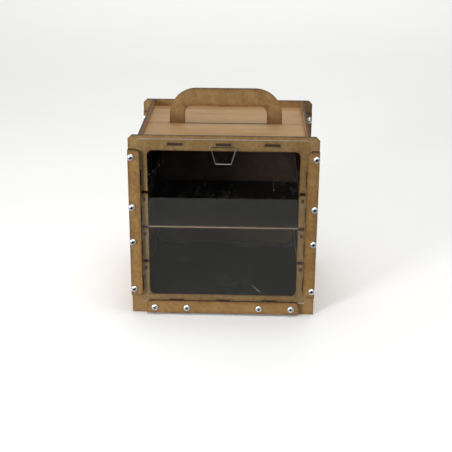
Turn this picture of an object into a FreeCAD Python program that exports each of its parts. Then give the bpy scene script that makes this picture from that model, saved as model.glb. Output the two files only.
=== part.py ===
import FreeCAD, Part
import math
import os
import Sketcher
from FreeCAD import Placement, Rotation, Vector

# Carrying cage of laser-cut board: a box between two identical framed ends, each with its own
# panel that slides up in a screwed-on channel.
# Model frame, in millimetres: +X to the right seen from the window, -Y out of the window,
# +Z up, origin on the ground under the middle of the box.

doc = FreeCAD.newDocument("queen_cage")

# ---------------------------------------------------------------- driving dimensions
SIZES = [
    ("board", 3.0, "thickness of every cut board except the two below"),
    ("spacer_board", 4.0, "thickness of the channel spacers"),
    ("panel_board", 2.4, "thickness of the sliding window and of the sliding rear door"),
    ("kerf", 0.1, "how much wider a slot is than the tab in it"),
    ("play", 0.3, "least gap around a sliding panel"),
    ("plate_half", 110.0, "half width of an end frame"),
    ("plate_rise", 223.6, "height of an end frame"),
    ("plate_bevel", 4.5, "bevel of its upper corners"),
    ("mid_gap", 84.0, "from the middle of the box to an end frame's inner face"),
    ("mouth_half", 88.2, "half width of the frame's opening"),
    ("mouth_low", 24.7, "lower edge of the opening"),
    ("mouth_high", 206.1, "upper edge of the opening"),
    ("mouth_round", 6.5, "corner radius of the opening"),
    ("wall_half", 98.5, "from the middle to a side wall's outer face"),
    ("floor_low", 15.3, "underside of the floor"),
    ("lid_low", 212.0, "underside of the roof"),
    ("tab_width", 17.5, "width of a tab"),
    ("tab_pitch", 55.9, "distance between neighbouring tabs of floor and roof"),
    ("wall_tab_pitch", 44.5, "distance between neighbouring tabs of a side wall's ends"),
    ("wall_tab_low", 39.6, "height of the lowest of those tabs' middles"),
    ("side_tab_pitch", 42.0, "from the middle to the tabs that floor and roof have in the walls"),
    ("shelf_pitch", 43.5, "height between two shelf levels"),
    ("shelf_low", 68.0, "middle height of the lowest shelf level"),
    ("notch_rise", 3.5, "height of the notch that lets a shelf through the frame"),
    ("notch_reach", 95.2, "half width over a pair of notches"),
    ("shelf_half", 95.0, "half width of the shelf"),
    ("tongue_half", 87.2, "half width of the shelf's tongue inside the opening"),
    ("tongue_reach", 85.0, "from the middle to the end of that tongue"),
    ("runner_width", 6.0, "width of a shelf runner"),
    ("runner_rise", 14.0, "height of a shelf runner"),
    ("runner_tab_width", 3.0, "width of a runner's end tab"),
    ("runner_tab_rise", 4.0, "height of a runner's end tab"),
    ("strip_inner", 96.3, "from the middle to the inner edge of a side strip"),
    ("strip_low", 25.3, "lower end of a side strip"),
    ("strip_high", 207.5, "upper end of a side strip"),
    ("strip_round", 5.5, "radius of a strip's free corners"),
    ("sill_half", 91.4, "half length of the bottom strip"),
    ("sill_low", 2.7, "lower edge of the bottom strip, clear of the table"),
    ("sill_rise", 18.5, "upper edge of the bottom strip"),
    ("rest_rise", 15.7, "upper edge of the bottom spacer, on which the panel comes to rest"),
    ("spacer_inner", 100.9, "from the middle to the inner edge of a side spacer"),
    ("panel_half", 99.9, "half width of a sliding panel"),
    ("panel_low", 16.0, "lower edge of a closed panel"),
    ("panel_high", 220.0, "upper edge of a closed panel"),
    ("panel_round", 4.5, "corner radius of a panel"),
    ("side_screw_out", 106.4, "from the middle to the screws of a side strip"),
    ("side_screw_mid", 116.5, "middle height of a side strip's four screws"),
    ("side_screw_far", 82.5, "from there to its outer screws"),
    ("side_screw_near", 21.7, "from there to its inner screws"),
    ("sill_screw_up", 9.8, "height of the bottom strip's screws"),
    ("sill_screw_far", 82.2, "from the middle to its outer screws"),
    ("sill_screw_near", 43.5, "from the middle to its inner screws"),
    ("screw_hole_radius", 2.15, "clearance hole of an M4 screw"),
    ("shank_radius", 1.95, "M4 screw shank"),
    ("shank_length", 20.0, "length of the screw under its head"),
    ("head_radius", 4.0, "pan head"),
    ("head_rise", 2.8, "height of the pan head"),
    ("head_round", 1.9, "rounding of the pan head's rim"),
    ("recess_half", 2.2, "half length of one arm of the cross recess"),
    ("recess_arm", 0.45, "half width of that arm"),
    ("recess_depth", 1.5, "depth of the cross recess"),
    ("nut_flat_half", 3.5, "half of the nut's width across flats"),
    ("nut_rise", 3.2, "height of the nut"),
    ("nut_bore_radius", 2.0, "bore of the nut"),
    ("pull_half", 14.2, "from the middle to a hole for the wire pull"),
    ("pull_up", 210.5, "height of those holes"),
    ("pull_hole_radius", 1.7, "radius of those holes"),
    ("wire_radius", 0.5, "radius of the pull's wire"),
    ("wire_bend", 1.2, "bend radius of the wire"),
    ("wire_gap", 0.15, "gap between the wire and the panel it lies against"),
    ("wire_join", 0.5, "gap between the wire's two ends"),
    ("wire_slope", 15.0, "angle at which the hanging pull passes through its holes"),
    ("grip_half", 9.0, "half width of the pull's lower bar"),
    ("grip_up", 191.3, "height of that bar"),
    ("handle_half", 68.5, "half width of the handle"),
    ("handle_leg", 18.5, "width of a handle leg"),
    ("handle_high", 258.8, "top of the handle"),
    ("handle_bar", 20.8, "height of the handle's bar"),
    ("handle_outer_round", 33.0, "outer corner radius of the handle"),
    ("handle_inner_round", 11.0, "inner corner radius of the handle"),
    ("rib_low", 199.0, "lower edge of the rib under the roof that the handle grows from"),
    ("rib_tab_rise", 7.0, "height of the rib's tabs in the side walls"),
]

sizes = doc.addObject("Spreadsheet::Sheet", "sizes")
for row, (alias, value, note) in enumerate(SIZES, start=1):
    sizes.set("A%d" % row, alias)
    sizes.set("B%d" % row, str(value))
    sizes.set("C%d" % row, note)
    sizes.setAlias("B%d" % row, alias)
doc.recompute()


def size(alias):
    """A driving dimension, as a number."""
    return float(getattr(sizes, alias))


# ---------------------------------------------------------------- sketching
ORIGIN_POINT = (-1, 1)      # geometry index and point of a sketch's origin


def cell(expression):
    """The expression with every name of the sheet written out as a reference to its cell."""
    words = expression.split()
    aliases = {alias for alias, _, _ in SIZES}
    return " ".join("sizes." + word if word in aliases else word for word in words)


def place_point(sketch, geometry, point, across, up):
    """Fix one point of a sketch by two expressions of the sheet."""
    for kind, expression in (("DistanceX", across), ("DistanceY", up)):
        index = sketch.addConstraint(
            Sketcher.Constraint(kind, *ORIGIN_POINT, geometry, point, 1.0))
        sketch.setExpression("Constraints[%d]" % index, cell(expression))


def outline(sketch, corners):
    """Draw a closed outline of straight lines; each corner is a pair of expressions."""
    count = len(corners)
    first = sketch.GeometryCount
    turn = 2 * math.pi / count
    ring = [Vector(math.cos(turn * k), math.sin(turn * k), 0) for k in range(count)]
    for k in range(count):
        sketch.addGeometry(Part.LineSegment(ring[k], ring[(k + 1) % count]))
    for k in range(count):
        after = first + (k + 1) % count
        sketch.addConstraint(Sketcher.Constraint("Coincident", first + k, 2, after, 1))
    for k, (across, up) in enumerate(corners):
        place_point(sketch, first + k, 1, across, up)


def rectangle(sketch, left, right, low, high):
    outline(sketch, [(left, low), (right, low), (right, high), (left, high)])


def rectangle_about(sketch, across, up, half_width, half_rise):
    """A rectangle given by its middle and its two half sizes."""
    rectangle(sketch, "%s - ( %s )" % (across, half_width), "%s + ( %s )" % (across, half_width),
              "%s - ( %s )" % (up, half_rise), "%s + ( %s )" % (up, half_rise))


def circle(sketch, across, up, radius):
    index = sketch.addGeometry(Part.Circle(Vector(1, 1, 0), Vector(0, 0, 1), 1.0))
    place_point(sketch, index, 3, across, up)
    constraint = sketch.addConstraint(Sketcher.Constraint("Radius", index, 1.0))
    sketch.setExpression("Constraints[%d]" % constraint, cell(radius))


# ---------------------------------------------------------------- bodies
parts = []


def new_body(name):
    body = doc.addObject("PartDesign::Body", name)
    body.Label = name
    body.AllowCompound = True
    parts.append(body)
    return body


def new_sketch(body, plane, offset, name):
    """A sketch parallel to an origin plane of its body, offset along that plane's normal."""
    sketch = body.newObject("Sketcher::SketchObject", name)
    base = [feature for feature in body.Origin.OriginFeatures if feature.Role == plane][0]
    sketch.AttachmentSupport = (base, "")
    sketch.MapMode = "FlatFace"
    sketch.setExpression("AttachmentOffset.Base.z", cell(offset))
    return sketch


def pad(body, sketch, length):
    feature = body.newObject("PartDesign::Pad", sketch.Name + "_pad")
    feature.Profile = sketch
    feature.setExpression("Length", cell(length))
    doc.recompute()
    return feature


def cut(body, sketch, depth=None):
    """Cut the sketch's outlines out of the body: right through, or depth below the sketch."""
    before = body.Shape.Volume
    feature = body.newObject("PartDesign::Pocket", sketch.Name + "_cut")
    feature.Profile = sketch
    if depth is None:
        feature.Type = "ThroughAll"
        feature.Midplane = True
    else:
        feature.setExpression("Length", cell(depth))
    doc.recompute()
    if not body.Shape.Volume < before:
        raise RuntimeError("%s removes nothing" % feature.Name)
    return feature


def soften(body, kind, corners, value, axes=("x", "z")):
    """Fillet or chamfer the edges that run through the given corners of a board's outline."""
    tip = body.Tip
    names = []
    for number, edge in enumerate(tip.Shape.Edges, start=1):
        ends = [vertex.Point for vertex in edge.Vertexes]
        for corner in corners:
            if all(abs(getattr(end, axis) - wanted) < 0.01
                   for end in ends for axis, wanted in zip(axes, corner)):
                names.append("Edge%d" % number)
    if len(names) < len(corners):
        raise RuntimeError("%s: %d corners found of %d" % (body.Name, len(names), len(corners)))
    feature = body.newObject("PartDesign::" + kind, "%s_%s" % (body.Name, kind.lower()))
    feature.Base = (tip, names)
    feature.setExpression("Radius" if kind == "Fillet" else "Size", cell(value))
    doc.recompute()
    return feature


# ---------------------------------------------------------------- what repeats
ENDS = (("front", 0), ("rear", 180))         # the rear end is the front end turned about Z
HANDS = (("left", "-", -1), ("right", "", 1))
LEVELS = (("low", 0), ("middle", 1), ("high", 2))
THREE_TABS = ("- tab_pitch", "0 * tab_pitch", "tab_pitch")
WALL_TABS = ["wall_tab_low + %d * wall_tab_pitch" % k for k in range(4)]
BOTH_SIDES = ("-", "")


def level_up(number):
    """Middle height of a shelf level."""
    return "shelf_low + %d * shelf_pitch" % number


def turned(turn):
    return Placement(Vector(0, 0, 0), Rotation(Vector(0, 0, 1), turn))


def model_hand(hand, turn):
    """Left or right on the whole object for a piece drawn on that side of the front end."""
    if turn == 0:
        return hand
    return "right" if hand == "left" else "left"


def side_screws(sign):
    """Middles of the four screws of a side strip."""
    ups = ["side_screw_mid %s %s" % (way, reach)
           for way in "-+" for reach in ("side_screw_far", "side_screw_near")]
    return [(sign + " side_screw_out", up) for up in ups]


def sill_screws():
    """Middles of the four screws of the bottom strip."""
    return [("%s %s" % (way, reach), "sill_screw_up")
            for way in BOTH_SIDES for reach in ("sill_screw_far", "sill_screw_near")]


# ---------------------------------------------------------------- the two ends
def end_frame(end, turn):
    """Board with the opening, the shelf notches and the slots that hold the box together."""
    body = new_body(end + "_frame")
    plate = new_sketch(body, "XZ_Plane", "mid_gap", end + "_frame_outline")
    rectangle(plate, "- plate_half", "plate_half", "0 * plate_rise", "plate_rise")
    rectangle(plate, "- mouth_half", "mouth_half", "mouth_low", "mouth_high")
    pad(body, plate, "board")
    wide = size("plate_half")
    soften(body, "Chamfer", [(-wide, size("plate_rise")), (wide, size("plate_rise"))],
           "plate_bevel")
    mouth = [(side * size("mouth_half"), size(edge))
             for side in (-1, 1) for edge in ("mouth_low", "mouth_high")]
    soften(body, "Fillet", mouth, "mouth_round")

    notches = new_sketch(body, "XZ_Plane", "mid_gap", end + "_frame_notches")
    for _, number in LEVELS:
        rectangle_about(notches, "0 * notch_reach", level_up(number), "notch_reach",
                        "notch_rise / 2")
    cut(body, notches)

    slots = new_sketch(body, "XZ_Plane", "mid_gap", end + "_frame_slots")
    for across in THREE_TABS:
        for low in ("floor_low", "lid_low"):
            rectangle_about(slots, across, low + " + board / 2", "( tab_width + kerf ) / 2",
                            "( board + kerf ) / 2")
    for sign in BOTH_SIDES:
        for up in WALL_TABS:
            rectangle_about(slots, sign + " ( wall_half - board / 2 )", up,
                            "( board + kerf ) / 2", "( tab_width + kerf ) / 2")
        for _, number in LEVELS:
            rectangle_about(slots, sign + " ( wall_half - board - runner_width / 2 )",
                            level_up(number) + " - ( board + runner_rise ) / 2",
                            "( runner_tab_width + kerf ) / 2", "( runner_tab_rise + kerf ) / 2")
    cut(body, slots)

    holes = new_sketch(body, "XZ_Plane", "mid_gap", end + "_frame_screw_holes")
    for across, up in side_screws("-") + side_screws("") + sill_screws():
        circle(holes, across, up, "screw_hole_radius")
    cut(body, holes)
    body.Placement = turned(turn)


def channel_layer(name, turn, depth, thickness, edges, screws, rounded):
    """One layer of the screwed stack: a board with four screw holes and rounded free corners."""
    body = new_body(name)
    layer = new_sketch(body, "XZ_Plane", depth, name + "_outline")
    rectangle(layer, *edges)
    for across, up in screws:
        circle(layer, across, up, "screw_hole_radius")
    pad(body, layer, thickness)
    if rounded:
        soften(body, "Fillet", rounded, "strip_round")
    body.Placement = turned(turn)


def channel(end, turn):
    """Retaining strips, spacers and backing strips on the two sides and along the bottom."""
    for hand, sign, side in HANDS:
        name = "%s_%s" % (end, model_hand(hand, turn))
        screws = side_screws(sign)
        free = [(side * size("strip_inner"), size(edge)) for edge in ("strip_low", "strip_high")]
        outer = sign + " plate_half"
        ups = ("strip_low", "strip_high")
        channel_layer(name + "_strip", turn, "mid_gap + board + spacer_board", "board",
                      (sign + " strip_inner", outer) + ups, screws, free)
        channel_layer(name + "_spacer", turn, "mid_gap + board", "spacer_board",
                      (sign + " spacer_inner", outer) + ups, screws, None)
        channel_layer(name + "_backing", turn, "mid_gap - board", "board",
                      (sign + " ( wall_half + play )", outer) + ups, screws, None)
    free = [(side * size("sill_half"), size("sill_rise")) for side in (-1, 1)]
    across = ("- sill_half", "sill_half", "sill_low")
    channel_layer(end + "_bottom_strip", turn, "mid_gap + board + spacer_board", "board",
                  across + ("sill_rise",), sill_screws(), free)
    channel_layer(end + "_bottom_spacer", turn, "mid_gap + board", "spacer_board",
                  across + ("rest_rise",), sill_screws(), None)
    channel_layer(end + "_bottom_backing", turn, "mid_gap - board", "board",
                  across + ("floor_low - play",), sill_screws(), None)


def fasteners(name, turn, middles):
    """Four cross-recessed pan-head screws and their four hexagon nuts, as two groups."""
    face = "mid_gap + 2 * board + spacer_board"
    screws = new_body(name + "_screws")
    heads = new_sketch(screws, "XZ_Plane", face, name + "_heads")
    for across, up in middles:
        circle(heads, across, up, "head_radius")
    pad(screws, heads, "head_rise")
    tip = screws.Tip
    crown = -(size("mid_gap") + 2 * size("board") + size("spacer_board") + size("head_rise"))
    rims = ["Edge%d" % number for number, edge in enumerate(tip.Shape.Edges, start=1)
            if all(abs(vertex.Y - crown) < 0.01 for vertex in edge.Vertexes)]
    dome = screws.newObject("PartDesign::Fillet", name + "_dome")
    dome.Base = (tip, rims)
    dome.setExpression("Radius", cell("head_round"))
    doc.recompute()
    shanks = new_sketch(screws, "XZ_Plane", face + " - shank_length", name + "_shanks")
    for across, up in middles:
        circle(shanks, across, up, "shank_radius")
    pad(screws, shanks, "shank_length")
    for arm, half_width, half_rise in (("level", "recess_half", "recess_arm"),
                                       ("upright", "recess_arm", "recess_half")):
        recess = new_sketch(screws, "XZ_Plane", face + " + head_rise", "%s_%s" % (name, arm))
        for across, up in middles:
            rectangle_about(recess, across, up, half_width, half_rise)
        cut(screws, recess, "recess_depth")
    screws.Placement = turned(turn)

    nuts = new_body(name + "_nuts")
    hexagons = new_sketch(nuts, "XZ_Plane", "mid_gap - board - nut_rise", name + "_hexagons")
    flat = "nut_flat_half"
    point = "nut_flat_half * %.6f" % (1 / math.cos(math.radians(30)))
    half_point = point + " / 2"
    for across, up in middles:
        corners = [(across + way_x, up + way_z) for way_x, way_z in (
            (" + " + flat, " + " + half_point), ("", " + " + point),
            (" - " + flat, " + " + half_point), (" - " + flat, " - " + half_point),
            ("", " - " + point), (" + " + flat, " - " + half_point))]
        outline(hexagons, corners)
        circle(hexagons, across, up, "nut_bore_radius")
    pad(nuts, hexagons, "nut_rise")
    nuts.Placement = turned(turn)


def sliding_panel(name, turn):
    """Panel that slides up in the channel, with two holes for its wire pull."""
    body = new_body(name)
    face = new_sketch(body, "XZ_Plane", "mid_gap + board + spacer_board - play - panel_board",
                      name + "_outline")
    rectangle(face, "- panel_half", "panel_half", "panel_low", "panel_high")
    for sign in BOTH_SIDES:
        circle(face, sign + " pull_half", "pull_up", "pull_hole_radius")
    pad(body, face, "panel_board")
    corners = [(side * size("panel_half"), size(edge))
               for side in (-1, 1) for edge in ("panel_low", "panel_high")]
    soften(body, "Fillet", corners, "panel_round")
    body.Placement = turned(turn)


def bent_wire(route, radius, bend):
    """One round wire along straight runs joined by tangent arcs."""
    edges = []
    start = route[0]
    for before, corner, after in zip(route, route[1:], route[2:]):
        inward = (corner - before).normalize()
        outward = (after - corner).normalize()
        turn = inward.getAngle(outward)
        reach = bend * math.tan(turn / 2)
        enter = corner - inward * reach
        leave = corner + outward * reach
        bisector = (outward - inward).normalize()
        middle = corner + bisector * (bend / math.cos(turn / 2) - bend)
        edges.append(Part.LineSegment(start, enter).toShape())
        edges.append(Part.Arc(enter, middle, leave).toShape())
        start = leave
    edges.append(Part.LineSegment(start, route[-1]).toShape())
    section = Part.Wire([Part.Circle(route[0], route[1] - route[0], radius).toShape()])
    return Part.Wire(edges).makePipeShell([section], True, False)


def wire_pull(name, turn):
    """Wire pull: its ends meet behind the panel, its two legs pass through the panel's holes
    and its loop hangs down in front. It turns about its own stretch behind the panel."""
    radius = size("wire_radius")
    outer = size("mid_gap") + size("board") + size("spacer_board") - size("play")
    inner = outer - size("panel_board")
    behind = -(inner - size("wire_gap") - radius)
    ahead = -(outer + size("wire_gap") + radius)
    slope = math.tan(math.radians(size("wire_slope")))
    up = size("pull_up")
    low = up + (ahead - behind) * slope
    across = size("pull_half")
    half_join = size("wire_join") / 2
    route = [Vector(half_join, behind, up), Vector(across, behind, up),
             Vector(across, ahead, low), Vector(size("grip_half"), ahead, size("grip_up")),
             Vector(-size("grip_half"), ahead, size("grip_up")), Vector(-across, ahead, low),
             Vector(-across, behind, up), Vector(-half_join, behind, up)]
    body = doc.addObject("Part::Feature", name)
    body.Label = name
    body.Shape = bent_wire(route, radius, size("wire_bend"))
    body.Placement = turned(turn)
    parts.append(body)


# ---------------------------------------------------------------- the box between them
def side_wall(hand, sign, side):
    """Wall with four tabs at each end and slots for floor, roof and handle rib."""
    name = hand + "_side_panel"
    body = new_body(name)
    inner = "wall_half" if side < 0 else "wall_half - board"
    offset = "- wall_half" if side < 0 else inner
    wall = new_sketch(body, "YZ_Plane", offset, name + "_outline")
    rectangle(wall, "- mid_gap", "mid_gap", "0 * plate_rise", "plate_rise")
    pad(body, wall, "board")
    tabs = new_sketch(body, "YZ_Plane", offset, name + "_tabs")
    for sign_y, reach in (("-", "- ( mid_gap + board )"), ("", "mid_gap + board")):
        for up in WALL_TABS:
            rectangle(tabs, reach, sign_y + " ( mid_gap - board )",
                      up + " - tab_width / 2", up + " + tab_width / 2")
    pad(body, tabs, "board")
    slots = new_sketch(body, "YZ_Plane", offset, name + "_slots")
    for across in ("- side_tab_pitch", "side_tab_pitch"):
        for low in ("floor_low", "lid_low"):
            rectangle_about(slots, across, low + " + board / 2", "( tab_width + kerf ) / 2",
                            "( board + kerf ) / 2")
    rectangle_about(slots, "0 * board", "( rib_low + lid_low ) / 2", "( board + kerf ) / 2",
                    "( rib_tab_rise + kerf ) / 2")
    cut(body, slots)


def deck(name, low, near, far, ends, recess):
    """Level board between the walls, with tabs in the end frames and in the side walls."""
    body = new_body(name)
    board = new_sketch(body, "XY_Plane", low, name + "_outline")
    rectangle(board, "- ( wall_half - board )", "wall_half - board", near, far)
    pad(body, board, "board")
    tabs = new_sketch(body, "XY_Plane", low, name + "_tabs")
    for sign in ends:
        for across in THREE_TABS:
            rectangle(tabs, across + " - tab_width / 2", across + " + tab_width / 2",
                      sign + " ( mid_gap - board )", sign + " ( mid_gap + board )")
        for side in BOTH_SIDES:
            rectangle(tabs, side + " ( wall_half - 2 * board )", side + " wall_half",
                      sign + " side_tab_pitch - tab_width / 2",
                      sign + " side_tab_pitch + tab_width / 2")
    pad(body, tabs, "board")
    if recess:
        slot = new_sketch(body, "XY_Plane", low, name + "_handle_slot")
        rectangle_about(slot, "0 * board", "0 * board", "handle_half + kerf",
                        "( board + kerf ) / 2")
        cut(body, slot)


def handle():
    """Carrying handle and the rib under the roof that it grows from, cut as one board."""
    name = "carry_handle"
    body = new_body(name)
    board = new_sketch(body, "XZ_Plane", "- board / 2", name + "_outline")
    inner = "( handle_half - handle_leg )"
    right = [("wall_half - board", "rib_low"), ("wall_half - board", "lid_low"),
             ("handle_half", "lid_low"), ("handle_half", "handle_high")]
    left = [("-1 * ( %s )" % across, up) for across, up in reversed(right)]
    outline(board, right + left)
    pad(body, board, "board")
    gap = new_sketch(body, "XZ_Plane", "- board / 2", name + "_gap")
    rectangle(gap, "-1 * " + inner, inner, "lid_low", "handle_high - handle_bar")
    cut(body, gap)
    tabs = new_sketch(body, "XZ_Plane", "- board / 2", name + "_tabs")
    for sign in BOTH_SIDES:
        middle = "( rib_low + lid_low ) / 2"
        rectangle(tabs, sign + " ( wall_half - 2 * board )", sign + " wall_half",
                  middle + " - rib_tab_rise / 2", middle + " + rib_tab_rise / 2")
    pad(body, tabs, "board")
    wide = size("handle_half")
    high = size("handle_high")
    soften(body, "Fillet", [(-wide, high), (wide, high)], "handle_outer_round")
    narrow = wide - size("handle_leg")
    under = high - size("handle_bar")
    soften(body, "Fillet", [(-narrow, under), (narrow, under)], "handle_inner_round")


def shelf_board():
    """Shelf at the middle level: full width between the walls, a tongue in each opening."""
    body = new_body("shelf")
    low = level_up(1) + " - board / 2"
    board = new_sketch(body, "XY_Plane", low, "shelf_outline")
    shoulder = "mid_gap - play"
    quarter = [("shelf_half", shoulder), ("tongue_half", shoulder), ("tongue_half", "tongue_reach")]
    corners = []
    for across_sign, along_sign, order in ((1, 1, 1), (-1, 1, -1), (-1, -1, 1), (1, -1, -1)):
        for across, along in quarter[::order]:
            corners.append(("%d * ( %s )" % (across_sign, across), "%d * ( %s )" % (along_sign, along)))
    outline(board, corners)
    pad(body, board, "board")


def shelf_runner(hand, sign, side, level, number):
    """Ledge along a wall under one shelf level, with a tab at each end."""
    name = "shelf_runner_%s_%s" % (hand, level)
    body = new_body(name)
    offset = "- wall_half + board" if side < 0 else "wall_half - board - runner_width"
    top = level_up(number) + " - board / 2"
    bar = new_sketch(body, "YZ_Plane", offset, name + "_outline")
    rectangle(bar, "- mid_gap", "mid_gap", top + " - runner_rise", top)
    pad(body, bar, "runner_width")
    tabs = new_sketch(body, "YZ_Plane", offset + " + ( runner_width - runner_tab_width ) / 2",
                      name + "_tabs")
    rectangle_about(tabs, "0 * board", top + " - runner_rise / 2", "mid_gap + board",
                    "runner_tab_rise / 2")
    pad(body, tabs, "runner_tab_width")


# ---------------------------------------------------------------- assembly
for end, turn in ENDS:
    end_frame(end, turn)
    channel(end, turn)
    for hand, sign, _ in HANDS:
        fasteners("%s_%s" % (end, model_hand(hand, turn)), turn, side_screws(sign))
    fasteners(end + "_bottom", turn, sill_screws())

sliding_panel("front_window", 0)
sliding_panel("rear_door", 180)
wire_pull("front_window_pull", 0)
wire_pull("rear_door_pull", 180)

for hand, sign, side in HANDS:
    side_wall(hand, sign, side)
    for level, number in LEVELS:
        shelf_runner(hand, sign, side, level, number)
deck("floor_panel", "floor_low", "- mid_gap", "mid_gap", BOTH_SIDES, recess=False)
deck("top_panel_front", "lid_low", "- mid_gap", "0 * mid_gap", ("-",), recess=True)
deck("top_panel_rear", "lid_low", "0 * mid_gap", "mid_gap", ("",), recess=True)
handle()
shelf_board()

# ---------------------------------------------------------------- check and write
doc.recompute()
for item in doc.Objects:
    if "Invalid" in item.State or "Error" in item.State:
        raise RuntimeError("%s failed: %s" % (item.Name, item.State))
for part in parts:
    if part.Shape.isNull() or not part.Shape.isValid() or not part.Shape.Solids:
        raise RuntimeError("%s has no valid solid" % part.Label)

os.makedirs("parts", exist_ok=True)
for part in parts:
    part.Shape.exportStep("parts/%s.step" % part.Label)
    box = part.Shape.BoundBox
    print("%-28s %2d solid(s) %9.1f mm3  x %7.2f %7.2f  y %7.2f %7.2f  z %7.2f %7.2f" % (
        part.Label, len(part.Shape.Solids), part.Shape.Volume,
        box.XMin, box.XMax, box.YMin, box.YMax, box.ZMin, box.ZMax))
print("%d nodes" % len(parts))
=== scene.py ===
import math

import bmesh
import bpy
from mathutils import Matrix, Vector


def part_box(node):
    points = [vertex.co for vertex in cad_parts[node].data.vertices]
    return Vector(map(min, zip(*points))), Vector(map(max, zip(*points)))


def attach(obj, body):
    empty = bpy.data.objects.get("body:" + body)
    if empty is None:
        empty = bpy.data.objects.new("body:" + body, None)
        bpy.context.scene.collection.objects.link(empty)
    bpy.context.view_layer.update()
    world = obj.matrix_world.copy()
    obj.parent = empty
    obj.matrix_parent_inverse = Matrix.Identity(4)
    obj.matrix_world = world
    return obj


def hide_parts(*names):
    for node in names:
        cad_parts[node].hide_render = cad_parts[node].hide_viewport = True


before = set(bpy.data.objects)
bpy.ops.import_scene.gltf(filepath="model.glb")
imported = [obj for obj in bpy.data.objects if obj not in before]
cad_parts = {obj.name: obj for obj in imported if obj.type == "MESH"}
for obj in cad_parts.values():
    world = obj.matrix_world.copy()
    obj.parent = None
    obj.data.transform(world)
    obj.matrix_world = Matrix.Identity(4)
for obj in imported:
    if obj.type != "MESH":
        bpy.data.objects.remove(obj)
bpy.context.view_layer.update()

# ------------------------------------------------------------------ sizes, in metres
MM = 0.001
BOARD = 3.0 * MM                 # thickness of the cut board
TAB = 17.5 * MM                  # width of a roof, floor or wall tab
TAB_PITCH = 55.9 * MM            # between neighbouring roof or floor tabs
WALL_TAB_LOW = 39.6 * MM         # middle of a side wall's lowest end tab
WALL_TAB_PITCH = 44.5 * MM
MOUTH_HALF = 88.2 * MM           # half width of an end frame's opening
MOUTH_LOW = 24.7 * MM
MOUTH_HIGH = 206.1 * MM
NOTCH_HALF = 1.75 * MM           # half height of a shelf notch
RUNNER_TAB_HALF = 2.0 * MM       # half height of a shelf runner's end tab

HANDLE_HALF = 68.5 * MM          # half width of the carrying handle
FINGER_HALF = 50.0 * MM          # half width of its gap
BAR_RISE = 20.8 * MM             # height of its bar

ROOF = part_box("top_panel_front")[1].z
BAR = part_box("carry_handle")[1].z - BAR_RISE       # underside of the bar
WALL_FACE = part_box("right_side_panel")[1].x        # a side wall's outer face
GLASS_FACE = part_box("front_window")[0].y           # the window's outer face

SOFT_EDGE = 0.16 * MM            # how far the cut edges are broken
SOFT_TURN = math.radians(40)     # the least turn of an edge that is broken

ENDS = (("front", -1), ("rear", 1))
HANDS = (("left", -1), ("right", 1))
LEVELS = ("low", "middle", "high")
X_AXIS, Y_AXIS, Z_AXIS = 0, 1, 2


def srgb(red, green, blue):
    """A colour given on the usual 0 to 255 display scale, as linear light."""
    def linear(value):
        share = value / 255
        return share / 12.92 if share <= 0.04045 else ((share + 0.055) / 1.055) ** 2.4
    return (linear(red), linear(green), linear(blue), 1.0)


# ------------------------------------------------------------------ shader graphs
class Graph:
    """A material's node tree, with one short method for each node that the materials use."""

    def __init__(self, name):
        self.material = bpy.data.materials.new(name)
        self.material.use_nodes = True
        self.tree = self.material.node_tree
        self.tree.nodes.clear()
        self.output = self.tree.nodes.new("ShaderNodeOutputMaterial")
        self.shader = self.tree.nodes.new("ShaderNodeBsdfPrincipled")
        self.tree.links.new(self.shader.outputs[0], self.output.inputs[0])

    def node(self, kind, **settings):
        made = self.tree.nodes.new("ShaderNode" + kind)
        for key, value in settings.items():
            setattr(made, key, value)
        return made

    def feed(self, socket, value):
        """Connect a socket to another node's output, or set it to a plain value."""
        if isinstance(value, bpy.types.NodeSocket):
            self.tree.links.new(value, socket)
        else:
            socket.default_value = value

    def set(self, **inputs):
        """Set inputs of the surface shader; an underscore stands for a space."""
        for key, value in inputs.items():
            self.feed(self.shader.inputs[key.replace("_", " ")], value)

    def place(self):
        return self.node("TexCoord").outputs["Object"]

    def normal(self):
        return self.node("TexCoord").outputs["Normal"]

    def maths(self, operation, first, second=0.0, third=0.0, clamp=False):
        made = self.node("Math", operation=operation, use_clamp=clamp)
        for socket, value in zip(made.inputs, (first, second, third)):
            self.feed(socket, value)
        return made.outputs[0]

    def vector(self, operation, first, second=(0.0, 0.0, 0.0)):
        made = self.node("VectorMath", operation=operation)
        self.feed(made.inputs[0], first)
        if operation not in ("ABSOLUTE", "LENGTH"):
            self.feed(made.inputs[1], second)
        return made.outputs["Value" if operation in ("LENGTH", "DOT_PRODUCT") else "Vector"]

    def stretch(self, vector, factors):
        return self.vector("MULTIPLY", vector, factors)

    def parts(self, vector):
        """The x, y and z of a vector."""
        made = self.node("SeparateXYZ")
        self.feed(made.inputs[0], vector)
        return made.outputs

    def noise(self, vector, scale, detail=3.0, roughness=0.5, distortion=0.0):
        made = self.node("TexNoise")
        self.feed(made.inputs["Vector"], vector)
        made.inputs["Scale"].default_value = scale
        made.inputs["Detail"].default_value = detail
        made.inputs["Roughness"].default_value = roughness
        made.inputs["Distortion"].default_value = distortion
        return made.outputs["Fac"]

    def span(self, value, low, high, out_low=0.0, out_high=1.0, smooth=True):
        """Map low..high to out_low..out_high, held flat outside."""
        made = self.node("MapRange", interpolation_type="SMOOTHSTEP" if smooth else "LINEAR")
        for key, number in (("Value", value), ("From Min", low), ("From Max", high),
                            ("To Min", out_low), ("To Max", out_high)):
            self.feed(made.inputs[key], number)
        return made.outputs["Result"]

    def blend(self, share, first, second, mode="MIX"):
        made = self.node("Mix", data_type="RGBA", blend_type=mode)
        self.feed(made.inputs["Factor"], share)
        self.feed(made.inputs[6], first)
        self.feed(made.inputs[7], second)
        return made.outputs[2]

    def bump(self, height, strength, distance):
        made = self.node("Bump")
        made.inputs["Strength"].default_value = strength
        made.inputs["Distance"].default_value = distance
        self.feed(made.inputs["Height"], height)
        self.feed(self.shader.inputs["Normal"], made.outputs[0])


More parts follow.
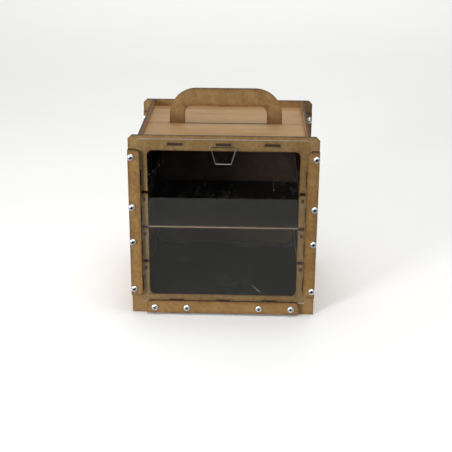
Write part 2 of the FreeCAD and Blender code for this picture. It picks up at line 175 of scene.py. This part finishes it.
# ------------------------------------------------------------------ cut board
MDF = {"light": srgb(158, 128, 80), "mid": srgb(135, 104, 58), "dark": srgb(98, 68, 31)}
STRIP = {"light": srgb(159, 124, 72), "mid": srgb(132, 98, 49), "dark": srgb(96, 62, 24)}
GRIP = {"light": srgb(156, 125, 79), "mid": srgb(129, 96, 51), "dark": srgb(92, 62, 27)}
PLY = {"light": srgb(159, 128, 86), "mid": srgb(149, 117, 76), "dark": srgb(125, 92, 54)}
# The roof's plywood, painted lighter to stand in for light on the walls' shaded inner faces.
WALL_PLY_PAINTED_LIGHTER = {"light": srgb(180, 146, 100), "mid": srgb(168, 133, 88), "dark": srgb(138, 102, 62)}
HARD = {"light": srgb(58, 41, 27), "mid": srgb(46, 31, 20), "dark": srgb(33, 21, 14)}
DARK_BOARD = {"light": srgb(34, 31, 29), "mid": srgb(25, 23, 22), "dark": srgb(17, 16, 16)}
SHELF_EDGE = srgb(142, 127, 107)
CHAR = srgb(32, 18, 10)
# Lighter char streaks; also the brown of the painted shade on the wire's upper runs.
CHAR_LIGHT_AND_WIRE_SHADE = srgb(55, 34, 20)
# Colour of the painted shade in the crease just above the roof.
CREASE_SHADE = srgb(148, 98, 46)
# Laser smoke colour, also the colour of the painted shade at the handle's foot.
SMOKE_AND_FOOT_SHADE = srgb(92, 56, 24)
INSIDE_DARK = srgb(26, 21, 18)


def away_from(graph, point, box, flat):
    """Distance from point to a rectangle given by its two corners; flat blanks out one axis."""
    low, high = Vector(box[0]), Vector(box[1])
    middle = (low + high) / 2
    half = (high - low) / 2
    offset = graph.vector("ABSOLUTE", graph.vector("SUBTRACT", point, tuple(middle)))
    beyond = graph.vector("MAXIMUM", graph.vector("SUBTRACT", offset, tuple(half)))
    return graph.vector("LENGTH", graph.stretch(beyond, flat))


def inside_of(graph, point, box, axis):
    """Distance from point to the nearest edge of the board that fills the box."""
    low, high = box
    middle = (low + high) / 2
    half = (high - low) / 2
    offset = graph.vector("ABSOLUTE", graph.vector("SUBTRACT", point, tuple(middle)))
    margins = graph.parts(graph.vector("SUBTRACT", tuple(half), offset))
    return graph.maths("MINIMUM", *[margins[k] for k in range(3) if k != axis])


def facing(graph, axis):
    """How squarely a surface faces along one axis, from 0 to 1."""
    straight = tuple(1.0 if k == axis else 0.0 for k in range(3))
    return graph.maths("ABSOLUTE", graph.vector("DOT_PRODUCT", graph.normal(), straight))


def burnt_edges(graph, colour, point, box, axis, rim, char, bare, unshaded_half, smoke, seed):
    """Add what the laser leaves (charred edges, smoke on the faces beside them), and painted
    shade.

    char is how dark the cut edges are, and smoke how strong the smoke is. With the colour bare,
    only the arrises are that dark out to the given half width; past it, painted shade darkens the
    edge."""
    across = [1.0, 1.0, 1.0]
    across[axis] = 0.08
    streaks = graph.noise(graph.stretch(point, tuple(across)), 1500 + seed, 4, 0.6)
    charred = graph.blend(graph.span(streaks, 0.35, 0.7), CHAR, CHAR_LIGHT_AND_WIRE_SHADE)
    if bare is not None:
        place = graph.parts(point)
        middle = (box[0][axis] + box[1][axis]) / 2
        half = (box[1][axis] - box[0][axis]) / 2
        offset = graph.maths("ABSOLUTE", graph.maths("SUBTRACT", place[axis], middle))
        arris = graph.span(offset, 0.25 * half, 0.7 * half)
        # Past the given half width the whole edge is painted dark: painted shade on the shelf's
        # ends in the notches.
        out = graph.maths("ABSOLUTE", place[X_AXIS])
        beyond = graph.span(out, unshaded_half, unshaded_half + 0.3 * MM)
        charred = graph.blend(graph.maths("MAXIMUM", arris, beyond), bare, charred)
    charred = graph.blend(char, colour, charred)
    wander = graph.noise(point, 170 + seed, 4, 0.6)
    near = graph.span(rim, 0.1 * MM, graph.span(wander, 0.3, 0.7, 1.0 * MM, 3.2 * MM), 1.0, 0.0)
    wide = graph.span(rim, 0.0, graph.span(wander, 0.25, 0.75, 3.0 * MM, 10.0 * MM), 1.0, 0.0)
    near_share = graph.span(wander, 0.3, 0.65, 0.45 * smoke, 0.85 * smoke)
    near = graph.maths("MULTIPLY", near, near_share)
    wide = graph.maths("MULTIPLY", wide, 0.28 * smoke)
    smoked = graph.blend(graph.maths("MAXIMUM", near, wide), colour, SMOKE_AND_FOOT_SHADE)
    on_edge = graph.span(facing(graph, axis), 0.55, 0.9, 1.0, 0.0)
    return graph.blend(on_edge, smoked, charred), on_edge


def darker_inside_and_crease_shade(graph, colour, point, axis, inward):
    """Darker colour on the side that faces the chamber below the roof, and painted shade in the
    crease just above the roof.
    """
    toward = tuple(float(inward) if k == axis else 0.0 for k in range(3))
    faces = graph.span(graph.vector("DOT_PRODUCT", graph.normal(), toward), 0.5, 0.8)
    place = graph.parts(point)
    out = graph.maths("ABSOLUTE", place[X_AXIS])
    faces = graph.maths("MULTIPLY", faces, graph.span(out, WALL_FACE + 0.6 * MM, WALL_FACE))
    # Painted shade in the crease where the wall or frame meets the roof.
    crease_shade_mask = graph.span(place[Z_AXIS], ROOF + 1.2 * MM, ROOF + 4.2 * MM, 0.75, 0.0)
    colour = graph.blend(graph.maths("MULTIPLY", crease_shade_mask, faces), colour, CREASE_SHADE)
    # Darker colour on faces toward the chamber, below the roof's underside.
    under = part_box("top_panel_front")[0].z
    below = graph.span(place[Z_AXIS], under + 0.3 * MM, under - 0.3 * MM)
    return graph.blend(graph.maths("MULTIPLY", faces, below), colour, INSIDE_DARK)


def fibre_colour(graph, point, tones, seed, mottle):
    """Pressed fibre board: soft blotches over short pale and dark fibres."""
    blotch = graph.noise(point, 46 + seed, 3, 0.55)
    patch = graph.noise(point, 210 + seed, 4, 0.6)
    fibre = graph.noise(graph.stretch(point, (1.0, 1.0, 1.5)), 620 + seed, 4, 0.75)
    colour = graph.blend(graph.span(blotch, 0.3, 0.7, 0.1, 0.7), tones["mid"], tones["light"])
    colour = graph.blend(graph.span(patch, 0.42, 0.75, 0.0, mottle), colour, tones["dark"])
    colour = graph.blend(graph.span(fibre, 0.52, 0.72, 0.0, 0.55), colour, tones["light"])
    colour = graph.blend(graph.span(fibre, 0.48, 0.3, 0.0, 0.6), colour, tones["dark"])
    return colour, fibre


def grain_colour(graph, point, tones, along, seed):
    """Veneer: long wavering growth lines along one axis, with short pores between them."""
    lines = [1.0, 1.0, 1.0]
    lines[along] = 0.045
    pores = [1.0, 1.0, 1.0]
    pores[along] = 0.09
    growth = graph.noise(graph.stretch(point, tuple(lines)), 150 + seed, 4, 0.55, 0.4)
    fine = graph.noise(graph.stretch(point, tuple(pores)), 1400 + seed, 3, 0.6)
    cloud = graph.noise(point, 24 + seed, 2, 0.5)
    colour = graph.blend(graph.span(growth, 0.32, 0.68), tones["light"], tones["mid"])
    colour = graph.blend(graph.span(cloud, 0.4, 0.75, 0.0, 0.4), colour, tones["mid"])
    colour = graph.blend(graph.span(growth, 0.6, 0.74, 0.0, 0.6), colour, tones["dark"])
    colour = graph.blend(graph.span(fine, 0.58, 0.78, 0.0, 0.5), colour, tones["dark"])
    return colour, fine


def board_material(node, axis, tones, cuts=(), grain=None, char=0.95, seed=0, rough=0.62,
                   folded=False, mottle=0.5, bare=None, unshaded_half=None, inward=0,
                   shaded_foot=None, smoke=1.0):
    """Material of one cut board, worked out from its box and the cuts in it.

    axis is the one that the board lies across. cuts are its slots and openings, given for both
    sides or, if it is folded, for the right half. grain is the axis along which veneer runs,
    and None means fibre board. inward is +1 or -1, the way from it to the chamber. The foot
    stretch is the height over which painted shade at the handle's foot fades out."""
    graph = Graph(node + "_surface")
    point = graph.place()
    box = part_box(node)
    if grain is None:
        colour, relief = fibre_colour(graph, point, tones, seed, mottle)
    else:
        colour, relief = grain_colour(graph, point, tones, grain, seed)
    rim = inside_of(graph, point, box, axis)
    flat = tuple(0.0 if k == axis else 1.0 for k in range(3))
    spot = point
    if folded:
        place = graph.parts(point)
        join = graph.node("CombineXYZ")
        graph.feed(join.inputs[X_AXIS], graph.maths("ABSOLUTE", place[X_AXIS]))
        for k in (Y_AXIS, Z_AXIS):
            graph.feed(join.inputs[k], place[k])
        spot = join.outputs[0]
    for cut in cuts:
        rim = graph.maths("MINIMUM", rim, away_from(graph, spot, cut, flat))
    colour, on_edge = burnt_edges(graph, colour, point, box, axis, rim, char, bare, unshaded_half,
                                  smoke, seed)
    if inward:
        colour = darker_inside_and_crease_shade(graph, colour, point, axis, inward)
    # Painted shade at the handle's foot, fading out towards the bar.
    if shaded_foot:
        foot_shade = graph.span(graph.parts(point)[Z_AXIS], *shaded_foot, 0.8, 0.0)
        colour = graph.blend(foot_shade, colour, SMOKE_AND_FOOT_SHADE)
    graph.set(Base_Color=colour, Specular_IOR_Level=0.35,
              Roughness=graph.span(relief, 0.3, 0.7, rough - 0.07, rough + 0.12))
    graph.bump(graph.maths("MULTIPLY_ADD", on_edge, 0.4, relief), 0.35, 0.05 * MM)
    return graph.material


def about(across, up, half_across, half_up):
    """Two corners of a rectangle that stands in the XZ plane."""
    return ((across - half_across, 0.0, up - half_up), (across + half_across, 0.0, up + half_up))


def frame_cuts():
    """The opening, notches and slots of an end frame, for its right half."""
    mouth_up = (MOUTH_LOW + MOUTH_HIGH) / 2
    cuts = [about(0.0, mouth_up, MOUTH_HALF, mouth_up - MOUTH_LOW)]
    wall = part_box("right_side_panel")
    wall_middle = (wall[0].x + wall[1].x) / 2
    cuts += [about(wall_middle, WALL_TAB_LOW + k * WALL_TAB_PITCH, BOARD / 2, TAB / 2)
             for k in range(4)]
    for node in ("floor_panel", "top_panel_front"):
        low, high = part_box(node)
        up = (low.z + high.z) / 2
        cuts += [about(across, up, TAB / 2, BOARD / 2) for across in (0.0, TAB_PITCH)]
    for level in LEVELS:
        low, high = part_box("shelf_runner_right_" + level)
        middle = (low + high) / 2
        cuts.append(about(middle.x, middle.z, BOARD / 2, RUNNER_TAB_HALF))
        cuts.append(about((MOUTH_HALF + wall[0].x) / 2, high.z + BOARD / 2,
                          (wall[0].x - MOUTH_HALF) / 2, NOTCH_HALF))
    return cuts


def cover(node, material):
    """Give a CAD node its material."""
    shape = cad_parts[node]
    shape.data.materials.clear()
    shape.data.materials.append(material)
    return shape


def dress(node, material):
    """Give a CAD board its material and break its sharp edges."""
    bevel = cover(node, material).modifiers.new("broken_edges", "BEVEL")
    bevel.width = SOFT_EDGE
    bevel.segments = 2
    bevel.limit_method = "ANGLE"
    bevel.angle_limit = SOFT_TURN
    bevel.harden_normals = False


def dress_boards():
    seed = 0
    for end, side in ENDS:
        dress(end + "_frame", board_material(end + "_frame", Y_AXIS, MDF, frame_cuts(),
                                             seed=3 * side, folded=True, inward=-side,
                                             smoke=0.75))
        for place in ("left", "right", "bottom"):
            for layer in ("strip", "spacer", "backing"):
                seed += 1
                node = "%s_%s_%s" % (end, place, layer)
                dress(node, board_material(node, Y_AXIS, STRIP, seed=seed))
    for hand, side in HANDS:
        node = hand + "_side_panel"
        # The walls' plywood is painted lighter, as painted light on their shaded inner faces.
        dress(node, board_material(node, X_AXIS, WALL_PLY_PAINTED_LIGHTER, grain=Y_AXIS, seed=seed, inward=-side,
                                   smoke=0.3))
        for level in LEVELS:
            seed += 1
            node = "shelf_runner_%s_%s" % (hand, level)
            dress(node, board_material(node, X_AXIS, HARD, char=1.0, seed=seed))
    for node in ("top_panel_front", "top_panel_rear"):
        dress(node, board_material(node, Z_AXIS, PLY, grain=X_AXIS, seed=seed, char=1.0))
        seed += 5
    dress("floor_panel", board_material("floor_panel", Z_AXIS, DARK_BOARD, char=0.7, seed=seed))
    # The shelf's edge past the mouth gets painted shade, where its ends sit in the frame notches.
    dress("shelf", board_material("shelf", Z_AXIS, DARK_BOARD, seed=seed + 2, rough=0.5,
                                  bare=SHELF_EDGE, unshaded_half=MOUTH_HALF - 0.3 * MM, char=1.0))
    # The handle's foot gets painted shade, fading out up to the bar.
    dress("carry_handle", board_material("carry_handle", Y_AXIS, GRIP, handle_cuts(),
                                         seed=seed + 4, mottle=0.35, shaded_foot=(ROOF, BAR)))
    dress("rear_door", board_material("rear_door", Y_AXIS, HARD, seed=seed + 6, rough=0.45))


def handle_cuts():
    """What the handle's outline leaves out of its box: the finger gap and both upper corners."""
    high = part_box("carry_handle")[1]
    reach = high.x - HANDLE_HALF
    cuts = [about(0.0, (ROOF + BAR) / 2, FINGER_HALF, (BAR - ROOF) / 2)]
    cuts += [about(side * (HANDLE_HALF + reach / 2), (ROOF + high.z) / 2,
                   reach / 2, (high.z - ROOF) / 2) for side in (-1, 1)]
    return cuts


# ------------------------------------------------------------------ acrylic, zinc and wire
def acrylic():
    """Clear sheet with dust, hairline scratches and pale, slightly frosted cut edges."""
    graph = Graph("clear_acrylic")
    point = graph.place()
    graph.set(Base_Color=(0.965, 0.975, 0.97, 1.0), Transmission_Weight=1.0, IOR=1.49,
              Roughness=0.0)
    dust = graph.node("TexVoronoi", feature="F1")
    graph.feed(dust.inputs["Vector"], point)
    dust.inputs["Scale"].default_value = 210
    pick = graph.noise(point, 28, 3, 0.6)
    speck = graph.maths("MULTIPLY", graph.span(dust.outputs["Distance"], 0.2, 0.08, 0.0, 1.0),
                        graph.span(pick, 0.5, 0.62))
    marks = graph.maths("MULTIPLY", speck, 0.2)
    for angle, pitch in ((0.9, 260), (-0.5, 330)):
        turned = graph.node("VectorRotate", rotation_type="Y_AXIS")
        graph.feed(turned.inputs["Vector"], point)
        turned.inputs["Angle"].default_value = angle
        hair = graph.noise(graph.stretch(turned.outputs[0], (1.0, 1.0, 0.04)), pitch, 5, 0.75)
        patch = graph.span(graph.noise(point, 17 + pitch / 50, 2, 0.5), 0.5, 0.68)
        scratch = graph.maths("MULTIPLY", graph.span(hair, 0.63, 0.7), patch)
        marks = graph.maths("MAXIMUM", marks, graph.maths("MULTIPLY", scratch, 0.2))
    lint = graph.node("BsdfDiffuse")
    lint.inputs["Color"].default_value = srgb(205, 205, 200)
    on_edge = graph.span(facing(graph, Y_AXIS), 0.3, 0.9, 0.42, 0.0)
    dusty = graph.node("MixShader")
    graph.feed(dusty.inputs[0], graph.maths("MAXIMUM", marks, on_edge))
    graph.feed(dusty.inputs[1], graph.shader.outputs[0])
    graph.feed(dusty.inputs[2], lint.outputs[0])
    path = graph.node("LightPath").outputs
    soft_rays = graph.maths("MAXIMUM", path["Is Shadow Ray"], path["Is Diffuse Ray"])
    clear = graph.node("BsdfTransparent")
    clear.inputs["Color"].default_value = (0.93, 0.94, 0.935, 1.0)
    pane = graph.node("MixShader")
    graph.feed(pane.inputs[0], soft_rays)
    graph.feed(pane.inputs[1], dusty.outputs[0])
    graph.feed(pane.inputs[2], clear.outputs[0])
    graph.feed(graph.output.inputs[0], pane.outputs[0])
    return graph.material


def metal(name, colour, dull, recess_shade, rough, scale, shade_above=None):
    """Plated or drawn steel: fine cloudy finish, duller patches, painted shade in recesses.

    Above the given height it is dull and brown, as painted shade on the wire's upper runs."""
    graph = Graph(name)
    point = graph.place()
    cloud = graph.noise(point, scale, 4, 0.6)
    # Painted shade: occlusion darkens recesses and contacts toward the dark colour.
    shade = graph.node("AmbientOcclusion", samples=8)
    shade.inputs["Distance"].default_value = 2.2 * MM
    open_share = graph.span(shade.outputs["AO"], 0.45, 0.9)
    plate = graph.blend(graph.span(cloud, 0.35, 0.75), colour, dull)
    # Painted shade: above this height the wire is dull and brown, as on its runs behind the
    # window.
    if shade_above is not None:
        up = graph.parts(point)[Z_AXIS]
        upper_run_shade = graph.span(up, shade_above - 1.5 * MM, shade_above)
        plate = graph.blend(upper_run_shade, plate, CHAR_LIGHT_AND_WIRE_SHADE)
    graph.set(Base_Color=graph.blend(open_share, recess_shade, plate), Metallic=1.0,
              Roughness=graph.span(cloud, 0.3, 0.75, rough, rough + 0.16))
    graph.bump(graph.noise(point, scale * 6, 2, 0.5), 0.12, 0.02 * MM)
    return graph.material


# ------------------------------------------------------------------ screws and nuts
HEAD_RADIUS = 4.0 * MM
HEAD_RISE = 2.8 * MM
SHANK_RADIUS = 1.95 * MM
THREAD_PITCH = 0.7 * MM
THREAD_DEPTH = 0.32 * MM
RECESS_REACH = 3.0 * MM
RECESS_ARM = 0.58 * MM
RECESS_DEPTH = 1.9 * MM
PLAIN_LENGTH = 13.0 * MM         # stretch of the shank that has no thread
NUT_FLAT_HALF = 3.5 * MM
ROUND = 48                       # corners of a turned body


def lathe(profile, name):
    """A closed body turned about the Y axis from (radius, y) points that start and end on it."""
    mesh = bmesh.new()
    turns = [2 * math.pi / ROUND * k for k in range(ROUND)]
    rings = []
    for radius, along in profile:
        if radius == 0:
            rings.append([mesh.verts.new((0, along, 0))])
        else:
            rings.append([mesh.verts.new((radius * math.cos(turn), along, radius * math.sin(turn)))
                          for turn in turns])
    for ring, after in zip(rings, rings[1:]):
        for k in range(ROUND):
            corners = [ring[k % len(ring)], ring[(k + 1) % len(ring)],
                       after[(k + 1) % len(after)], after[k % len(after)]]
            mesh.faces.new(list(dict.fromkeys(corners)))
    return to_object(mesh, name)


def to_object(mesh, name, closed=True):
    if closed:
        bmesh.ops.recalc_face_normals(mesh, faces=mesh.faces)
    data = bpy.data.meshes.new(name)
    mesh.to_mesh(data)
    mesh.free()
    made = bpy.data.objects.new(name, data)
    bpy.context.scene.collection.objects.link(made)
    return made


def prism(outline, low, high, name, shrink=1.0):
    """A straight or tapering body on an XZ outline, from y = low to y = high."""
    mesh = bmesh.new()
    near = [mesh.verts.new((x, low, z)) for x, z in outline]
    far = [mesh.verts.new((x * shrink, high, z * shrink)) for x, z in outline]
    mesh.faces.new(near)
    mesh.faces.new(far[::-1])
    for k in range(len(outline)):
        after = (k + 1) % len(outline)
        mesh.faces.new((near[k], far[k], far[after], near[after]))
    return to_object(mesh, name)


def combine(base, tool, operation):
    """Apply one boolean between two bodies and drop the tool."""
    step = base.modifiers.new("cut", "BOOLEAN")
    step.operation = operation
    step.object = tool
    step.solver = "EXACT"
    graph = bpy.context.evaluated_depsgraph_get()
    result = bpy.data.meshes.new_from_object(base.evaluated_get(graph))
    base.modifiers.clear()
    base.data = result
    bpy.data.objects.remove(tool)


def cross_outline(reach, arm):
    """Outline of a cross recess: four arms with small fillets where they meet."""
    corner = arm * 2.1
    quarter = [(reach, -arm), (reach, arm), (corner, arm), (corner * 0.72, corner * 0.72),
               (arm, corner)]
    points = []
    for k in range(4):
        turn = math.pi / 2 * k
        for x, z in quarter:
            points.append((x * math.cos(turn) - z * math.sin(turn),
                           x * math.sin(turn) + z * math.cos(turn)))
    return points


def screw_mesh(length):
    """Pan-head screw along +Y: head at y < 0, threaded shank from y = 0 to y = length."""
    crown = [(0, -HEAD_RISE)]
    rim_low = -0.75 * MM
    steps = 12
    for k in range(1, steps + 1):
        angle = math.pi / 2 * k / steps
        radius = HEAD_RADIUS * math.sin(angle) ** 0.72
        crown.append((radius, rim_low - (HEAD_RISE + rim_low) * math.cos(angle)))
    head = lathe(crown + [(HEAD_RADIUS, -0.12 * MM), (HEAD_RADIUS - 0.12 * MM, 0), (0, 0)], "head")
    cutter = prism(cross_outline(RECESS_REACH, RECESS_ARM), -HEAD_RISE - 0.2 * MM,
                   -HEAD_RISE + RECESS_DEPTH, "recess", shrink=0.42)
    combine(head, cutter, "DIFFERENCE")
    shank = threaded_shank(length)
    mesh = bmesh.new()
    for part in (head, shank):
        mesh.from_mesh(part.data)
        bpy.data.objects.remove(part)
    made = to_object(mesh, "screw")
    data = made.data
    bpy.data.objects.remove(made)
    return data


def threaded_shank(length):
    """Shank with a helical thread over its last stretch, closed at both ends."""
    sides = 24
    per_turn = 4
    mesh = bmesh.new()
    rings = []
    threaded = length - PLAIN_LENGTH
    rows = int(threaded / THREAD_PITCH * per_turn)
    ups = [0.01 * MM] + [PLAIN_LENGTH + threaded * k / rows for k in range(rows + 1)]
    for row, up in enumerate(ups):
        ring = []
        for k in range(sides):
            turn = 2 * math.pi * k / sides
            phase = (up / THREAD_PITCH - k / sides) % 1.0
            depth = THREAD_DEPTH * abs(2 * phase - 1) if row > 1 else 0.0
            if up > length - 0.6 * MM:
                depth = max(depth, 0.35 * MM)
            radius = SHANK_RADIUS - depth
            ring.append(mesh.verts.new((radius * math.cos(turn), up, radius * math.sin(turn))))
        rings.append(ring)
    for ring, after in zip(rings, rings[1:]):
        for k in range(sides):
            mesh.faces.new((ring[k], ring[(k + 1) % sides], after[(k + 1) % sides], after[k]))
    mesh.faces.new(rings[0])
    mesh.faces.new(rings[-1][::-1])
    return to_object(mesh, "shank")


def nut_mesh(rise):
    """Hexagon nut along +Y with chamfered corners and a bore."""
    point = NUT_FLAT_HALF / math.cos(math.pi / 6)
    corners = [(point * math.cos(math.pi / 3 * k + math.pi / 6),
                point * math.sin(math.pi / 3 * k + math.pi / 6)) for k in range(6)]
    nut = prism(corners, 0.0, rise, "nut")
    edge = point - 0.62 * MM
    slope = 0.36 * MM
    chamfer = lathe([(0, 0), (edge, 0), (point + 0.01 * MM, slope),
                     (point + 0.01 * MM, rise - slope), (edge, rise), (0, rise)], "chamfer")
    combine(nut, chamfer, "INTERSECT")
    bore = lathe([(0, -0.5 * MM), (SHANK_RADIUS + 0.45 * MM, -0.01 * MM),
                  (SHANK_RADIUS + 0.05 * MM, 0.45 * MM),
                  (SHANK_RADIUS + 0.05 * MM, rise - 0.45 * MM),
                  (SHANK_RADIUS + 0.45 * MM, rise + 0.01 * MM), (0, rise + 0.5 * MM)], "bore")
    combine(nut, bore, "DIFFERENCE")
    data = nut.data
    bpy.data.objects.remove(nut)
    return data


def middles_of(node):
    """Middles of a group's separate solids, as (x, z) pairs, read from the CAD mesh."""
    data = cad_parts[node].data
    mesh = bmesh.new()
    mesh.from_mesh(data)
    bmesh.ops.remove_doubles(mesh, verts=mesh.verts, dist=1e-6)
    left = set(mesh.verts)
    found = []
    while left:
        stack = [left.pop()]
        island = []
        while stack:
            vertex = stack.pop()
            island.append(vertex.co.copy())
            for edge in vertex.link_edges:
                other = edge.other_vert(vertex)
                if other in left:
                    left.remove(other)
                    stack.append(other)
        xs = [co.x for co in island]
        zs = [co.z for co in island]
        found.append(((min(xs) + max(xs)) / 2, (min(zs) + max(zs)) / 2))
    mesh.free()
    return sorted(found)


def copies(name, data, node, depth, side, turns, material):
    """Stand one copy of a fastener at each solid of a CAD group, as one piece."""
    mesh = bmesh.new()
    for k, (across, up) in enumerate(middles_of(node)):
        flip = Matrix.Rotation(math.pi if side > 0 else 0.0, 4, "Z")
        turn = Matrix.Rotation(turns(k), 4, "Y")
        before = len(mesh.verts)
        mesh.from_mesh(data)
        mesh.verts.ensure_lookup_table()
        shift = Matrix.Translation((across, depth, up)) @ flip @ turn
        for vertex in mesh.verts[before:]:
            vertex.co = shift @ vertex.co
    made = bpy.data.meshes.new(name)
    mesh.to_mesh(made)
    mesh.free()
    piece = bpy.data.objects.new(name, made)
    bpy.context.scene.collection.objects.link(piece)
    made.materials.append(material)
    smooth_by_angle(piece, 32)
    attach(piece, "box")
    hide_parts(node)
    return piece


def smooth_by_angle(piece, degrees):
    for face in piece.data.polygons:
        face.use_smooth = True
    piece.data.set_sharp_from_angle(angle=math.radians(degrees))


def fasten():
    """Replace the plain screw and nut groups with detailed ones."""
    # The third colour is painted shade for the cross recesses and where the heads touch.
    zinc = metal("zinc_plate", srgb(232, 235, 238), srgb(190, 197, 204), srgb(58, 68, 82),
                 0.27, 900)
    screw = screw_mesh(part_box("front_left_screws")[1].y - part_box("front_left_strip")[0].y)
    near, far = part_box("front_left_nuts")
    nut = nut_mesh(far.y - near.y)
    count = 0
    for end, side in ENDS:
        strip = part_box(end + "_bottom_strip")
        head_face = strip[0].y if side < 0 else strip[1].y
        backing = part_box(end + "_bottom_backing")
        nut_face = backing[1].y if side < 0 else backing[0].y
        for place in ("left", "right", "bottom"):
            count += 1
            group = "%s_%s_" % (end, place)
            copies(group + "pan_heads", screw, group + "screws", head_face, side,
                   lambda k, count=count: 0.7 * count + 1.9 * k, zinc)
            copies(group + "hexagons", nut, group + "nuts", nut_face, side,
                   lambda k, count=count: math.radians(7) * ((count + 2 * k) % 5 - 2), zinc)


# ------------------------------------------------------------------ studio
TABLE_REACH = 0.412              # how far in front of the window the grey table ends
CARD_GAP = 0.03                  # between the window and the near edge of the grey card
CARD_UP = 0.002                  # height of the cards over the floor


def plane(name, low, high, up, material):
    mesh = bmesh.new()
    mesh.faces.new([mesh.verts.new((x, y, up)) for x, y in (
        (low[0], low[1]), (high[0], low[1]), (high[0], high[1]), (low[0], high[1]))])
    made = to_object(mesh, name, closed=False)
    made.data.materials.append(material)
    return made


def area_light(name, place, target, width, depth, power):
    data = bpy.data.lights.new(name, "AREA")
    data.shape = "RECTANGLE"
    data.size = width
    data.size_y = depth
    data.energy = power
    lamp = bpy.data.objects.new(name, data)
    lamp.location = place
    lamp.rotation_euler = (Vector(target) - Vector(place)).to_track_quat("-Z", "Y").to_euler()
    bpy.context.scene.collection.objects.link(lamp)
    return lamp


def card(name, near, far, light, dark):
    """A card lying in front of the box, seen only by mirror images and bounced light.

    It lets all light through from below, so that the floor under it stays evenly lit, and all
    sight straight through the window, so that the floor shows there and not the card."""
    paper = Graph(name + "_paper")
    cloud = paper.noise(paper.place(), 5, 3, 0.5)
    paper.set(Base_Color=paper.blend(cloud, light, dark), Roughness=1.0, Specular_IOR_Level=0.0)
    path = paper.node("LightPath").outputs
    bounces = paper.maths("ADD", path["Glossy Depth"], path["Diffuse Depth"])
    straight = paper.maths("LESS_THAN", bounces, 0.5)
    from_below = paper.node("NewGeometry").outputs["Backfacing"]
    one_way = paper.node("MixShader")
    paper.feed(one_way.inputs[0], paper.maths("MAXIMUM", straight, from_below))
    paper.feed(one_way.inputs[1], paper.shader.outputs[0])
    paper.feed(one_way.inputs[2], paper.node("BsdfTransparent").outputs[0])
    paper.feed(paper.output.inputs[0], one_way.outputs[0])
    made = plane(name, (-6, far), (6, near), CARD_UP, paper.material)
    made.visible_camera = False
    made.visible_shadow = False


def studio():
    floor = Graph("pale_floor")
    cloud = floor.noise(floor.place(), 3, 3, 0.5)
    floor.set(Base_Color=floor.blend(cloud, srgb(244, 244, 243), srgb(240, 240, 239)),
              Roughness=0.9, Specular_IOR_Level=0.1)
    plane("floor", (-8, -8), (8, 8), 0.0, floor.material)
    edge = GLASS_FACE - TABLE_REACH
    card("grey_card", GLASS_FACE - CARD_GAP, edge, srgb(150, 150, 145), srgb(143, 143, 138))
    card("dark_card", edge, -7, srgb(8, 8, 8), srgb(5, 5, 5))
    world = bpy.data.worlds.new("studio_air")
    world.use_nodes = True
    air = world.node_tree.nodes["Background"]
    air.inputs["Color"].default_value = (1.0, 1.0, 1.0, 1.0)
    air.inputs["Strength"].default_value = 0.5
    bpy.context.scene.world = world
    target = (0.0, 0.0, 0.12)
    area_light("left_front", (-0.76, -1.05, 0.42), target, 0.3, 0.3, 11)
    area_light("overhead", (0.1, -0.15, 1.6), target, 1.1, 1.1, 13)
    area_light("wash", (0.0, 2.8, 1.9), (0.0, 2.6, 0.0), 3.0, 2.0, 30)
    sparkle = area_light("sparkle", (0.25, -1.3, 1.1), target, 0.8, 0.8, 9)
    sparkle.visible_diffuse = False
    sparkle.visible_transmission = False


def photograph():
    """Camera in front of the window, a little to the right and looking down on the roof."""
    azimuth = math.radians(1.55)
    elevation = math.radians(21.24)
    roll = math.radians(0.36)
    back = Vector((math.sin(azimuth) * math.cos(elevation),
                   -math.cos(azimuth) * math.cos(elevation), math.sin(elevation)))
    level = Vector((math.cos(azimuth), math.sin(azimuth), 0.0))
    upright = back.cross(level)
    right = math.cos(roll) * level + math.sin(roll) * upright
    above = math.cos(roll) * upright - math.sin(roll) * level
    data = bpy.data.cameras.new("camera")
    data.sensor_width = 36.0
    data.lens = 77.1
    camera = bpy.data.objects.new("camera", data)
    turn = Matrix((right, above, back)).transposed().to_4x4()
    camera.matrix_world = Matrix.Translation((0.0321, -1.1505, 0.5275)) @ turn
    bpy.context.scene.collection.objects.link(camera)
    bpy.context.scene.camera = camera


# ------------------------------------------------------------------ assembly
def glaze_and_wire():
    """Materials of the window and of both wire pulls, whose upper runs get painted shade."""
    cover("front_window", acrylic())
    # Above this height the wire's upper runs get painted shade.
    run_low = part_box("front_window_pull")[1].z - 0.9 * MM
    wire = metal("steel_wire", srgb(150, 149, 145), srgb(104, 103, 100), srgb(60, 58, 55),
                 0.3, 700, shade_above=run_low)
    for pull in ("front_window_pull", "rear_door_pull"):
        smooth_by_angle(cover(pull, wire), 40)


dress_boards()
fasten()
glaze_and_wire()
studio()
photograph()
bpy.context.scene.view_settings.view_transform = "Standard"
